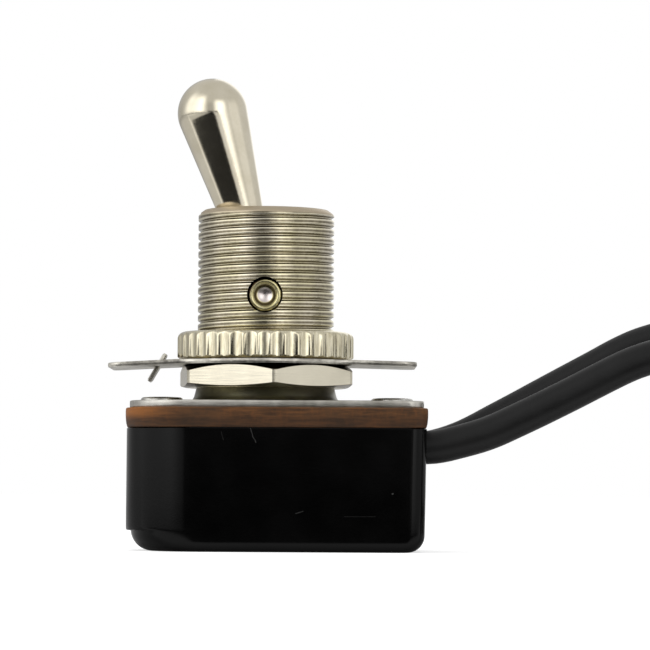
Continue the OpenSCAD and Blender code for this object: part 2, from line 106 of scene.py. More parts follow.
class Pattern:
    """A number, colour or vector that varies over a surface. Arithmetic on it adds shader maths."""

    def __init__(self, tree, socket=None):
        self.tree, self.socket = tree, socket

    def node(self, kind, settings=None, inputs=None, output=0):
        """Adds a node of that kind, with its settings first and then its sockets' values or links."""
        made = self.tree.nodes.new("ShaderNode" + kind)
        for key, value in (settings or {}).items():
            setattr(made, key, value)
        for key, value in (inputs or {}).items():
            if isinstance(value, Pattern):
                self.tree.links.new(value.socket, made.inputs[key])
            else:
                made.inputs[key].default_value = value
        return Pattern(self.tree, made.outputs[output] if made.outputs else None)

    def math(self, operation, *others):
        """A Math node on this number and the others."""
        return self.node("Math", {"operation": operation}, dict(enumerate((self, *others))))

    def __add__(self, other):
        return self.math("ADD", other)

    def __sub__(self, other):
        return self.math("SUBTRACT", other)

    def __rsub__(self, other):
        return self.node("Math", {"operation": "SUBTRACT"}, {0: other, 1: self})

    def __mul__(self, other):
        return self.math("MULTIPLY", other)

    def __abs__(self):
        return self.math("ABSOLUTE")

    __radd__, __rmul__ = __add__, __mul__

    def parts(self):
        """The x, y and z of a vector."""
        return [self.node("SeparateXYZ", None, {0: self}, axis) for axis in "XYZ"]

    def in_mm(self):
        """The x, y and z of a place, in mm."""
        return [part * (1 / MM) for part in self.parts()]

    def stretched(self, x, y, z):
        """A place scaled along each axis, for streaks."""
        return self.node("Mapping", None, {"Vector": self, "Scale": (x, y, z)})

    def noise(self, per_mm, detail=3.0, rough=0.5):
        """Soft noise with that many grains a millimetre, from 0 to 1 about 0.5."""
        return self.node("TexNoise", None, {"Vector": self, "Scale": per_mm / MM, "Detail": detail,
                                            "Roughness": rough})

    def step(self, low, high):
        """0 below low and 1 above high, with a smooth rise between."""
        return self.node("MapRange", {"interpolation_type": "SMOOTHSTEP"}, {0: self, 1: low, 2: high})

    def blend(self, low, high):
        """The colour low where this is 0 and high where it is 1."""
        return self.node("Mix", {"data_type": "RGBA"}, {0: self, 6: low, 7: high}, 2)


class Finish:
    """A surface finish: a Principled shader whose varying sockets are fed with patterns."""

    def __init__(self, name, roughness, metallic=0.0, specular=0.5):
        self.material = bpy.data.materials.new(name)
        self.material.use_nodes = True
        tree = self.material.node_tree
        self.shader = next(node for node in tree.nodes if node.type == "BSDF_PRINCIPLED")
        self.shader.inputs["Roughness"].default_value = roughness
        self.shader.inputs["Metallic"].default_value = metallic
        self.shader.inputs["Specular IOR Level"].default_value = specular
        self.place = Pattern(tree).node("TexCoord", output="Object")

    def feed(self, **patterns):
        """Links patterns to sockets: base_color=, roughness= or normal=."""
        for key, pattern in patterns.items():
            socket = self.shader.inputs[key.replace("_", " ").title()]
            self.material.node_tree.links.new(pattern.socket, socket)

    def bump(self, height_mm):
        """Relief of that many millimetres."""
        self.feed(normal=height_mm.node("Bump", None, {"Height": height_mm * MM, "Distance": 1.0}))


def rgb(red, green, blue):
    """An opaque colour from sRGB values of 0 to 255, made linear."""
    chip = np.array([red, green, blue]) / 255.0
    linear = np.where(chip <= 0.04045, chip / 12.92, ((chip + 0.055) / 1.055) ** 2.4)
    return (*linear.tolist(), 1.0)


def quads_between(rows, columns):
    """The faces of a grid of points numbered row by row, as an array of (row, column, corner).
    The last row joins the first, and so does the last column."""
    at = np.arange(rows * columns).reshape(rows, columns)
    beside = np.roll(at, -1, axis=1)
    return np.stack([at, beside, np.roll(beside, -1, axis=0), np.roll(at, -1, axis=0)], axis=-1)


def closed_mesh(name, points, faces):
    """A mesh through points in mm. Points that coincide, at poles and seams, are merged, and every
    face is turned outwards."""
    mesh = bpy.data.meshes.new(name)
    mesh.from_pydata((points * MM).tolist(), [], faces)
    work = bmesh.new()
    work.from_mesh(mesh)
    bmesh.ops.remove_doubles(work, verts=work.verts, dist=MERGE_WITHIN * MM)
    bmesh.ops.dissolve_degenerate(work, edges=work.edges, dist=MERGE_WITHIN / 2 * MM)
    bmesh.ops.recalc_face_normals(work, faces=work.faces)
    if work.calc_volume(signed=True) < 0:
        bmesh.ops.reverse_faces(work, faces=work.faces)
    work.to_mesh(mesh)
    work.free()
    return mesh


def finished(name, mesh, finish, slot, stands_for=(), rides="switch", sharp=38.0):
    mesh.shade_smooth()
    mesh.set_sharp_from_angle(angle=radians(sharp))
    mesh.materials.append(finish.material)
    piece = added(name, mesh)
    if rides:
        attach(piece, rides)
    if stands_for:
        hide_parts(*stands_for)
    return piece


def skin(name, rings, finish, slot, loop=False, **more):
    """A finished piece whose surface runs through rings of points in mm, an array of (ring, point,
    xyz). Each ring closes on itself. loop joins the last ring to the first, as round a washer;
    otherwise a fan closes each end at the middle of its ring. more is what finished also takes."""
    quads = quads_between(*rings.shape[:2])
    points = rings.reshape(-1, 3)
    faces = (quads if loop else quads[:-1]).reshape(-1, 4).tolist()
    if not loop:
        for side, middle in ((quads[0, :, 1::-1], len(points)), (quads[-1, :, :2], len(points) + 1)):
            faces += np.insert(side, 2, middle, axis=1).tolist()
        points = np.vstack([points, rings[0].mean(axis=0), rings[-1].mean(axis=0)])
    return finished(name, closed_mesh(name, points, faces), finish, slot, **more)


def through(points, step):
    """A smooth curve through points, about one sample every step mm: between two points it is
    the Catmull-Rom cubic of those two and their neighbours."""
    padded = np.vstack([2 * points[0] - points[1], points, 2 * points[-1] - points[-2]])
    stretches = []
    for a, b, c, d in zip(padded, padded[1:], padded[2:], padded[3:]):
        samples = max(2, int(round(np.linalg.norm(c - b) / step)))
        t = np.arange(samples)[:, None] / samples
        stretches.append(0.5 * (2 * b + (c - a) * t + (2 * a - 5 * b + 4 * c - d) * t ** 2
                                + (3 * b - a - 3 * c + d) * t ** 3))
    return np.vstack(stretches + [points[-1:]])


def full_turn(count):
    """That many angles spread evenly round a circle."""
    return np.linspace(0, 2 * np.pi, count, endpoint=False)


def sleeve(path, radius, around):
    """Rings round a path that never runs upright. radius is one number, one row per point of the
    path, or one row per point with one number for each of the sides that run round it."""
    along = np.gradient(path, axis=0)
    along /= np.linalg.norm(along, axis=1, keepdims=True)
    level = np.cross(along, (0.0, 0.0, 1.0))
    level /= np.linalg.norm(level, axis=1, keepdims=True)
    up = np.cross(level, along)
    turn = full_turn(around)[:, None]
    spokes = np.cos(turn) * level[:, None] + np.sin(turn) * up[:, None]
    return path[:, None] + np.broadcast_to(radius, spokes.shape[:2])[..., None] * spokes


def lying(ring_r, first, last, step):
    """Points on the turn that lies on the table, from one angle to another in degrees."""
    turn = np.radians(np.linspace(first, last, int(radians(last - first) * ring_r / step)) - 90)
    return np.stack([RING_CENTRE[0] + ring_r * np.cos(turn), RING_CENTRE[1] + ring_r * np.sin(turn),
                     np.full_like(turn, LEAD_R)], axis=-1)


pvc = Finish("black_pvc", roughness=0.42, specular=0.3)
scuff = pvc.place.noise(0.5, 4)
pvc.feed(base_color=scuff.step(0.35, 0.75).blend(rgb(9, 9, 9), rgb(15, 15, 15)),
         roughness=0.36 + 0.16 * scuff)
pvc.bump(0.012 * pvc.place.noise(2.2, 3))

tinned = Finish("tinned_strands", roughness=0.3, metallic=1.0)
solder = tinned.place.noise(1.5, 3).step(0.3, 0.7)
tinned.feed(base_color=solder.blend(rgb(168, 166, 160), rgb(208, 207, 202)))
tinned.bump(0.01 * tinned.place.noise(8, 2))


def lead(side, route, ring_r):
    """One lead: its insulation from inside the case to its stripped end, and the twisted strands.
    Their outline is the size of a cosine, half a wave to each strand, turned along the lead."""
    reach = np.linalg.norm(np.diff(route, axis=0), axis=1).sum()
    insulated = LEAD_LENGTH + CASE_END - route[0, 0] - BARE_LENGTH - reach
    turn = degrees(insulated / ring_r)
    end = turn + degrees(BARE_LENGTH / ring_r)
    path = np.vstack([through(route, LEAD_STEP)[:-1], lying(ring_r, 0, turn, LEAD_STEP)])
    radius = np.full((len(path), 1), LEAD_R)
    radius[-1] -= CUT_ROUNDING
    cover = skin(f"lead_{side}_insulation", sleeve(path, radius, 28), pvc, "lead_black",
                 stands_for=(f"lead_{side}", f"lead_{side}_coil"))
    bare_path = lying(ring_r, turn - degrees(LEAD_STEP / ring_r), end, BARE_STEP)
    twist = np.arange(len(bare_path))[:, None] * BARE_STEP * 2 * np.pi / STRAND_TWIST
    strands = BARE_R * (0.9 + 0.1 * np.abs(np.cos(STRANDS / 2 * (full_turn(48) + twist))))
    strands[-2:] *= np.array([[0.97], [0.8]])
    bare = skin(f"lead_{side}_strands", sleeve(bare_path, strands, 48), tinned, "tinned_copper",
                stands_for=(f"lead_{side}_end",), sharp=60)


lead("front", FRONT_ROUTE, 19.5)
lead("rear", REAR_ROUTE, 16.5)

# ---- case ----
# A shallow box of black moulded phenolic with wide corners at its left end. Its floor is rounded
# in the mould, a raised land on the left end fades out round those corners, and two slots in the
# other end pass the leads.
CASE_TOP = 10.6
CASE_LEFT = 11.5
CASE_WIDTH = 15.8
CASE_LEFT_R = 5.3
END_R = 1.4
LAND = 0.42
LAND_FOOT = 1.78
FLOOR_ROUND_R, FLOOR_END_R, FLOOR_SIDE_R = 1.9, 1.45, 0.7
DRAFT = 0.18
RIVETS = (-9.0, 11.05)
WELL_R, WELL_DEPTH = 2.3, 0.9
SLOT_Y, SLOT_R = 3.55, LEAD_R + 0.05
SLOT_FROM, SLOT_TO, SLOT_TOP = 12.0, 16.0, 12.0


def plan(left, right, width, left_r, right_r, arc_steps=20, side_points=16):
    """The body's outline, anticlockwise from the right: straight sides between quarter circles of
    left_r at the left and right_r at the right. Each side is shared out evenly between its arcs."""
    far, near = width / 2 - left_r, width / 2 - right_r
    corners = ((right - right_r, near, right_r), (left_r - left, far, left_r),
               (left_r - left, -far, left_r), (right - right_r, -near, right_r))
    arcs = []
    for quarter, (x, y, radius) in enumerate(corners):
        turn = np.radians(np.linspace(0, 90, arc_steps + 1)) + quarter * np.pi / 2
        arcs.append(np.stack([x + radius * np.cos(turn), y + radius * np.sin(turn)], axis=-1))
    share = np.linspace(0, 1, side_points + 2)[1:-1, None]
    sides = [here[-1] * (1 - share) + after[0] * share for here, after in zip(arcs, arcs[1:] + arcs[:1])]
    return np.vstack([run for pair in zip(arcs, sides) for run in pair])


def raised(outline, z):
    """An outline lifted to z in mm."""
    return np.column_stack([outline, np.full(len(outline), z)])


def block(rings):
    """A closed cutting tool through rings of points in mm, with a flat face at each end."""
    rings = np.array(rings)
    quads = quads_between(*rings.shape[:2])
    faces = quads[:-1].reshape(-1, 4).tolist() + [quads[0, ::-1, 0].tolist(), quads[-1, :, 0].tolist()]
    return added("tool", closed_mesh("tool", rings.reshape(-1, 3), faces))


def cut_away(piece, *tools):
    """Cuts the closed tools out of a piece, and deletes the tools."""
    for tool in tools:
        cut = piece.modifiers.new("cut", "BOOLEAN")
        cut.object, cut.operation, cut.solver = tool, "DIFFERENCE", "EXACT"
    result = bpy.data.meshes.new_from_object(piece.evaluated_get(bpy.context.evaluated_depsgraph_get()))
    piece.modifiers.clear()
    piece.data = result
    for tool in tools:
        bpy.data.objects.remove(tool)
    result.set_sharp_from_angle(angle=radians(38))


def circle(x, y, radius, around):
    """Points round a circle in plan."""
    turn = full_turn(around)
    return np.stack([x + radius * np.cos(turn), y + radius * np.sin(turn)], axis=-1)


def diagonal(one, other):
    """How far away a point is whose distances along two axes are these patterns."""
    return (one * one + other * other).math("SQRT")


phenolic = Finish("black_phenolic", roughness=0.12, specular=0.16)
mould = phenolic.place.noise(0.35, 5)
grain = phenolic.place.noise(6.0, 2)
x, y, z = phenolic.place.in_mm()
x = x + 0.3 * (phenolic.place.noise(1.4, 2) - 0.5)


def scratch(x0, z0, x1, z1, half):
    """1 on the front face within half a width of the line between two points in mm. The share of
    the line at its nearest point is the dot product with its run over its length squared."""
    run, rise = x1 - x0, z1 - z0
    share = ((x - x0) * run + (z - z0) * rise) * (1 / (run ** 2 + rise ** 2))
    share = share.math("MAXIMUM", 0).math("MINIMUM", 1)
    gap = diagonal(x - x0 - share * run, z - z0 - share * rise)
    return (1 - gap.step(0.3 * half, half)) * (1 - y.step(0.1 - CASE_WIDTH / 2, 0.2 - CASE_WIDTH / 2))


marks = sum(depth * scratch(*ends, half) for depth, ends, half in (
    (1.0, (-1.15, 10.5, -0.65, 9.3), 0.05), (0.4, (-3.6, 10.2, -3.4, 9.5), 0.04),
    (0.8, (2.8, 3.3, 3.4, 3.5), 0.05), (0.25, (6.9, 3.05, 9.5, 3.06), 0.05),
    (1.8, (10.97, 4.99, 11.01, 5.01), 0.08)))
black = mould.step(0.3, 0.8).blend(rgb(2, 2, 2), rgb(5, 5, 5))
phenolic.feed(base_color=(marks * (0.3 + 0.7 * grain)).blend(black, rgb(66, 66, 65)),
              roughness=0.07 + 0.06 * mould + 0.03 * grain)
phenolic.bump(0.003 * mould + 0.0008 * grain)


def drawn_in(z, radius):
    """How far a rounding of that radius draws in at height z above its floor."""
    return radius - sqrt(z * (2 * radius - z)) if z < radius else 0.0


def case_ring(z, land=0.0, trim=0.0):
    """The case's outline at a height, with its rounded floor and the lead end's draft. The land
    stands out by its full height at the very end, and fades out round the corners."""
    left = CASE_LEFT - drawn_in(z, FLOOR_ROUND_R) - trim
    right = CASE_END - drawn_in(z, FLOOR_END_R) - DRAFT * (1 - z / CASE_TOP) - trim
    width = CASE_WIDTH - 2 * drawn_in(z, FLOOR_SIDE_R) - 2 * trim
    outline = plan(left, right, width, CASE_LEFT_R, END_R)
    facing = (CASE_LEFT_R - left - outline[:, 0]) / CASE_LEFT_R
    share = np.clip((facing - 0.5) / 0.5, 0, 1)
    outline[:, 0] -= land * share * share * (3 - 2 * share)
    return raised(outline, z)


# The rounded floor up to the land's foot, the land's lower edge, and the wall up to its rim.
floor_steps = FLOOR_ROUND_R * (1 - np.cos(np.radians(np.linspace(0, 90, 15))))
rings = [case_ring(z) for z in floor_steps if z < LAND_FOOT - 0.1] + [case_ring(LAND_FOOT - 0.03)]
rings += [case_ring(LAND_FOOT + rise, LAND - short)
          for rise, short in ((0.0, 0.12), (0.04, 0.03), (0.14, 0.0), (0.3, 0.0))]
rings += [case_ring(z, LAND - 0.03 * z / CASE_TOP) for z in (4.0, 6.0, 8.0, CASE_TOP - 0.2, CASE_TOP - 0.1)]
rings.append(case_ring(CASE_TOP, LAND - 0.03, trim=0.08))
case = skin("case_body", np.array(rings), phenolic, "case_plastic", stands_for=("case",))
tools = []
for y in (-SLOT_Y, SLOT_Y):
    half = np.radians(np.linspace(180, 360, 25))
    u_shape = np.vstack([np.stack([y + SLOT_R * np.cos(half), LEAD_Z + SLOT_R * np.sin(half)], axis=-1),
                         [(y + SLOT_R, SLOT_TOP), (y - SLOT_R, SLOT_TOP)]])
    tools.append(block([np.roll(raised(u_shape, x), 1, axis=1) for x in (SLOT_FROM, SLOT_TO)]))
tools += [block([raised(circle(x, 0, WELL_R, 48), z) for z in (-1.0, WELL_DEPTH)]) for x in RIVETS]
cut_away(case, *tools)

# ---- insulator board ----
# A 1.7 mm board of brown laminated paper and resin, punched to the body's outline. Its edge is
# slightly barrelled, drawn in towards the case, and shows the fibres of its layers.
BOARD_BOTTOM, BOARD_TOP = 10.6, 12.3
BOARD_LEFT, BOARD_RIGHT, BOARD_WIDTH = 12.0, 14.0, 16.0
BOARD_LEFT_R = 5.4
HUB_R = 6.6
BOARD_EDGE = ((0.10, 1.0), (0.02, 0.95), (0.0, 0.82), (0.0, 0.6),
              (0.02, 0.4), (0.06, 0.2), (0.13, 0.04), (0.2, 0.0))


def board_outline(inset, left_r=BOARD_LEFT_R):
    """The board's outline, drawn in by inset all round."""
    return plan(BOARD_LEFT - inset, BOARD_RIGHT - inset, BOARD_WIDTH - 2 * inset, left_r, END_R)


def washer(outline, edge, bottom, top, hole_r):
    """Rings for a flat piece with a round hole at the bushing: up the hole's wall, out over the
    top, and down the edge. outline gives the plan for an inset, and edge lists each inset with
    its share of the height, from the top down."""
    rim = [raised(outline(inset), bottom + share * (top - bottom)) for inset, share in edge]
    toward = rim[0][:, :2] / np.linalg.norm(rim[0][:, :2], axis=1, keepdims=True)
    return np.array([raised(hole_r * toward, z) for z in (bottom, top)] + rim)


board = Finish("laminated_board", roughness=0.55, specular=0.28)
layers = board.place.stretched(0.35, 0.35, 3.2).noise(1.1, 4, 0.6)
fibres = board.place.stretched(1.6, 1.6, 0.6).noise(1.7, 4, 0.65)
blotch = board.place.noise(0.22, 3)
x, _, z = board.place.in_mm()
brown = layers.step(0.3, 0.72).blend(rgb(60, 38, 18), rgb(104, 66, 32))
fibres_and_shade = (0.45 * fibres.step(0.45, 0.78)).blend(brown, rgb(122, 72, 32))
fibres_and_shade = (0.45 * blotch.step(0.4, 0.7)).blend(fibres_and_shade, rgb(64, 48, 32))
# Painted shade darkens the edge towards its foot, where it draws in over the case, and a painted highlight
# makes the upper part of the rounded left end lighter and more orange.
upper = z.step(BOARD_BOTTOM + 0.4, BOARD_TOP - 0.3)
left_end_highlight = 1 - x.step(0.1 - BOARD_LEFT, 5 - BOARD_LEFT)
fibres_and_shade = (0.55 + 0.45 * upper).blend(rgb(40, 28, 20), fibres_and_shade)
board.feed(base_color=(0.7 * left_end_highlight * upper).blend(fibres_and_shade, rgb(166, 102, 42)),
           roughness=0.45 + 0.25 * fibres)
board.bump(0.02 * fibres + 0.012 * layers)
skin("board_body", washer(board_outline, BOARD_EDGE, BOARD_BOTTOM, BOARD_TOP, HUB_R), board,
     "board_laminate", stands_for=("insulator_board",), loop=True)

# ---- frame plate ----
# Punched from 0.6 mm steel and zinc plated. The punch rolls its top edge over and leaves the
# lower part of the edge rougher. The bushing is staked into its middle.
PLATE_BOTTOM, PLATE_TOP = 12.3, 12.92
PLATE_INSET = 0.35
SPIGOT_R = 5.6
PLATE_EDGE = ((0.12, 1.0), (0.04, 0.96), (0.01, 0.86), (0.0, 0.66), (0.0, 0.3), (0.01, 0.1), (0.03, 0.0))


def plate_outline(inset):
    """The plate's outline: the board's, a little smaller."""
    return board_outline(PLATE_INSET + inset, BOARD_LEFT_R - PLATE_INSET)


zinc = Finish("zinc_plate", roughness=0.36, metallic=1.0)
crystals = zinc.place.noise(1.6, 4)
rubbed = zinc.place.stretched(0.4, 0.4, 3).noise(2.5, 3)
cloudy = 0.5 * crystals + 0.5 * zinc.place.noise(0.28, 3).step(0.35, 0.65)
zinc.feed(base_color=cloudy.blend(rgb(146, 142, 132), rgb(222, 219, 211)), roughness=0.26 + 0.2 * rubbed)
zinc.bump(0.012 * crystals + 0.008 * rubbed)
skin("plate_body", washer(plate_outline, PLATE_EDGE, PLATE_BOTTOM, PLATE_TOP, SPIGOT_R), zinc,
     "zinc_steel", stands_for=("frame_plate",), loop=True)

# ---- rivets ----
# Two plated semi-tubular rivets clamp the plate, board and case. Their low oval heads sit on the
# plate, and their tails are rolled over in the wells under the case.
HEAD_R, HEAD_ROUND_R = 1.85, 0.26
HEAD_TOP = PLATE_TOP + 0.42
SHANK_R = 1.1
ROLL_R = SHANK_R + 0.68
TAIL_Z, TAIL_BORE_R = 0.3, 0.6


def arc(r, z, radius, first, last, count):
    """Points (r, z) of a profile on a circle about a centre, from one angle to another in degrees
    from straight up."""
    turn = np.radians(np.linspace(first, last, count))
    return [*zip(r + radius * np.sin(turn), z + radius * np.cos(turn))]


def turned(profile, turn, x=0.0):
    """Rings of a turned piece about an upright axis at x, from a profile of (radius, height). Both
    are numbers, or arrays with a value for each angle of turn."""
    return np.array([np.stack([x + radius * np.cos(turn), radius * np.sin(turn), z + 0 * turn], axis=-1)
                     for radius, z in profile])


plated = Finish("plated_rivet", roughness=0.24, metallic=1.0)
dulled = plated.place.noise(1.2, 3).step(0.3, 0.7)
plated.feed(base_color=dulled.blend(rgb(186, 184, 178), rgb(222, 220, 214)),
            roughness=0.18 + 0.16 * plated.place.noise(3, 3))
plated.bump(0.006 * plated.place.noise(4, 3))
dome = [(0.0, HEAD_TOP), (0.8, HEAD_TOP - 0.01), (1.3, HEAD_TOP - 0.03)]
dome += arc(HEAD_R - HEAD_ROUND_R, HEAD_TOP - 0.31, HEAD_ROUND_R, 15, 90, 8)
tail = [(HEAD_R - 0.05, PLATE_TOP), (SHANK_R, PLATE_TOP), (SHANK_R, WELL_DEPTH),
        (ROLL_R - 0.06, WELL_DEPTH), (ROLL_R, WELL_DEPTH - 0.12), (ROLL_R - 0.08, WELL_DEPTH - 0.32),
        (SHANK_R + 0.3, TAIL_Z + 0.05), (SHANK_R, TAIL_Z), (SHANK_R - 0.3, TAIL_Z + 0.08),
        (TAIL_BORE_R + 0.02, TAIL_Z + 0.4), (TAIL_BORE_R, 2.4), (0.0, 2.5)]
for name, x in zip(("left", "right"), RIVETS):
    skin(f"rivet_{name}_body", turned(dome + tail, full_turn(64), x), plated, "rivet_metal",
         stands_for=(f"rivet_{name}",), sharp=50)

# ---- bushing ----
# Turned from brass and nickel plated: a flared neck, a 15/32-32 thread cut right up to the
# chamfered lip, a smooth bore, and a foot staked over under the frame plate.
PITCH = 25.4 / 32
CREST_R = 5.93
ROOT_R = CREST_R - 0.24
NECK_R = 5.68
NUT_BOTTOM = 14.14
RING_TOP = 18.97
BUSHING_TOP = 29.62
BORE_R, BORE_FOOT = 4.4, 17.5
STAKE_R, STAKE_Z = 6.2, 11.7
PIVOT_Z = 21.98
CHAMFER_H = 0.46
LIP_R = 5.4
PIN_HOLE_R = 1.53

# One pitch of the thread, upwards from a crest's upper shoulder: (share of the pitch, share of
# the depth). A rounded root, the next crest's lower shoulder, and its slightly hollow land.
THREAD = np.array([(0.0, 1.0), (0.06, 0.9), (0.18, 0.25), (0.24, 0.05), (0.3, 0.05), (0.36, 0.25),
                   (0.48, 0.9), (0.54, 1.0), (0.6, 0.99), (0.77, 0.98), (0.94, 0.99)])
THREAD_FOOT = RING_TOP - 0.6

# The thread's shoulders and the bottom of its root carry painted highlight lines, and the flanks and land
# between them are painted dull brown as painted shade; the lip is matt and the neck below the nut is painted
# dark.
threaded = Finish("threaded_nickel", roughness=0.25, metallic=1.0)
x, y, z = threaded.place.in_mm()
phase = (z - THREAD_FOOT) * (1 / PITCH) - y.math("ARCTAN2", x) * (0.5 / np.pi)
phase = phase + 0.05 * (threaded.place.noise(0.6, 3) - 0.5)


def line(at, half):
    """1 along the helix at that share of the pitch, falling to 0 at half a width from it."""
    gap = abs((phase - at + 0.5).math("FRACT") - 0.5)
    return 1 - gap.step(0.25 * half, half)


chips = threaded.place.stretched(1, 1, 0.5).noise(3.0, 4, 0.6)
# Painted highlights: bright lines along the helix on both shoulders and at the root, over painted shade on
# the flanks and land.
painted_thread_highlights = (line(0.0, 0.17) + 0.9 * line(0.55, 0.14) + 0.5 * line(0.27, 0.1)) * (0.75 + 0.5 * chips)
painted_thread_shade = chips.step(0.3, 0.7).blend(rgb(112, 104, 86), rgb(140, 131, 112))
tint = threaded.place.noise(0.3, 3).step(0.35, 0.65).blend(rgb(236, 228, 208), rgb(226, 218, 184))
lip = z.step(BUSHING_TOP - CHAMFER_H - 0.1, BUSHING_TOP - CHAMFER_H + 0.05)
thread_paint_and_lip = lip.blend(painted_thread_highlights.math("MINIMUM", 1.0).blend(painted_thread_shade, tint), rgb(196, 182, 158))
# The neck below the nut is painted a dark greyish brown.
haze = 0.5 * threaded.place.noise(0.35, 2).step(0.4, 0.6)
neck = 1 - z.step(NUT_BOTTOM - 0.05, NUT_BOTTOM)
threaded.feed(base_color=neck.blend(thread_paint_and_lip, haze.blend(rgb(98, 96, 76), rgb(74, 70, 68))),
              roughness=0.12 + 0.1 * chips + 0.25 * lip + 0.15 * neck)
threaded.bump(0.004 * chips)


def thread_rows(turn):
    """Rows of (radius, height) that follow the helix, for shares of a turn: row j is at height
    foot + (j + turn) pitches, with the thread's depth at that share of a pitch. The ends are held
    between foot and lip."""
    turns = int((BUSHING_TOP - THREAD_FOOT) / PITCH) + 3
    rise = (np.arange(turns)[:, None] + THREAD[:, 0]).reshape(-1, 1) - 1.0
    z = THREAD_FOOT + (rise + turn) * PITCH
    depth = np.tile(THREAD[:, 1], turns)[:, None]
    over = np.clip((z - (BUSHING_TOP - CHAMFER_H)) / CHAMFER_H, 0, 1)
    radius = np.minimum(ROOT_R + (CREST_R - ROOT_R) * depth, CREST_R - (CREST_R - LIP_R) * over ** 1.3)
    radius = np.where(z <= THREAD_FOOT, NECK_R, radius)
    return [*zip(radius, np.clip(z, THREAD_FOOT, BUSHING_TOP))]


below = [(SPIGOT_R, PLATE_TOP), (6.5, PLATE_TOP), (6.42, PLATE_TOP + 0.12), (6.3, PLATE_TOP + 0.25),
         (6.2, PLATE_TOP + 0.45), (6.0, NUT_BOTTOM), (NECK_R, NUT_BOTTOM)]
above = [(LIP_R - 0.18, BUSHING_TOP), (BORE_R + 0.3, BUSHING_TOP), (BORE_R + 0.1, BUSHING_TOP - 0.1),
         (BORE_R, BUSHING_TOP - 0.35), (BORE_R, BORE_FOOT), (5.0, STAKE_Z), (STAKE_R - 0.3, STAKE_Z),
         (STAKE_R, STAKE_Z + 0.3), (STAKE_R, PLATE_BOTTOM), (SPIGOT_R, PLATE_BOTTOM)]
turn = np.linspace(0, 1, 181)
grid = turned(below + thread_rows(turn) + above, 2 * np.pi * turn)
# The thread's rows end a pitch higher than they begin, so the last column isn't joined to the
# first: the points that meet there are merged.
faces = quads_between(*grid.shape[:2])[:, :-1].reshape(-1, 4).tolist()
bushing = finished("bushing_body", closed_mesh("bushing_body", grid.reshape(-1, 3), faces), threaded,
                   "nickel", stands_for=("bushing",))
hole = circle(0, PIVOT_Z, PIN_HOLE_R, 64)
cut_away(bushing, block([np.insert(hole, 1, y, axis=1) for y in (-9.0, 9.0)]))

# ---- hex nut ----
# A thin nickel-plated brass nut, 14.3 mm across its flats, with the corners of both faces
# turned off. It backs the legend plate.
NUT_TOP = 16.09
FLATS = 14.3
NUT_TURN = 36.6
NUT_BORE = 5.7
CORNER_R = FLATS / 2 / cos(radians(30)) - 0.11
NUT_LOW_R, NUT_LOW_FALL = FLATS / 2 - 0.18, 0.223
NUT_HIGH_R, NUT_HIGH_FALL = FLATS / 2 - 0.23, 0.458


def nut_rings():
    """Columns round the nut: at each angle the side is the hexagon's, and both faces fall away
    from a turned circle, the upper one more than the lower."""
    turn = full_turn(360)
    from_flat = np.mod(turn - radians(NUT_TURN), np.pi / 3) - np.pi / 6
    side = np.minimum(FLATS / 2 / np.cos(from_flat), CORNER_R)
    return turned([(NUT_BORE, NUT_BOTTOM + 0.2), (NUT_BORE + 0.2, NUT_BOTTOM), (NUT_LOW_R, NUT_BOTTOM),
                   (side, NUT_BOTTOM + NUT_LOW_FALL * (side - NUT_LOW_R)),
                   (side, NUT_TOP - NUT_HIGH_FALL * (side - NUT_HIGH_R)), (NUT_HIGH_R, NUT_TOP),
                   (NUT_BORE + 0.2, NUT_TOP), (NUT_BORE, NUT_TOP - 0.2)], turn)


nut_metal = Finish("nickel_nut", roughness=0.2, metallic=1.0)
milled = nut_metal.place.stretched(0.15, 0.15, 4).noise(2.2, 3)
x, y, z = nut_metal.place.in_mm()
reach = diagonal(x, y)
over = z + NUT_HIGH_FALL * (reach - NUT_HIGH_R) - NUT_TOP
under = NUT_BOTTOM + NUT_LOW_FALL * (reach - NUT_LOW_R) - z
# Painted shade and a painted reflection of the legend plate's underside: the turned-off corners of both
# faces are coloured dark brown.
chamfer_shade = over.math("MAXIMUM", under).step(-0.04, 0.0)
flat = 0.5 * nut_metal.place.noise(0.4, 3).step(0.3, 0.7) + 0.5 * milled
flat = flat.blend(rgb(216, 209, 190), rgb(236, 229, 208))
nut_metal.feed(base_color=chamfer_shade.blend(flat, rgb(84, 72, 56)), roughness=0.14 + 0.16 * milled)
nut_metal.bump(0.004 * milled)
skin("hex_nut_body", nut_rings(), nut_metal, "nickel", stands_for=("hex_nut",), loop=True, sharp=18)

# ---- legend plate ----
# A thin satin washer with a tongue at each side, which says which way is on. Both tongues
# droop a little, and a locating tang is lanced out of the left one at a slant.
LEGEND_BOTTOM, LEGEND_T = 16.09, 0.38
LEGEND_DISC_R, LEGEND_HOLE_R = 7.9, 6.03
TONGUE_HALF = 4.9
TONGUE_LEFT, TONGUE_RIGHT = 13.5, 13.1
TONGUE_CORNER_R = 1.2
FILLET_R = 3.0
BEND_X = 7.4
DROOP_LEFT, DROOP_RIGHT = 3.2, 1.4
LEGEND_EDGE = ((0.05, 1.0), (0.0, 0.8), (0.0, 0.25), (0.04, 0.0))
TANG_X, TANG_TILT = -9.15, 30.8
TANG_HALF_T, TANG_WIDTH = 0.165, 2.6


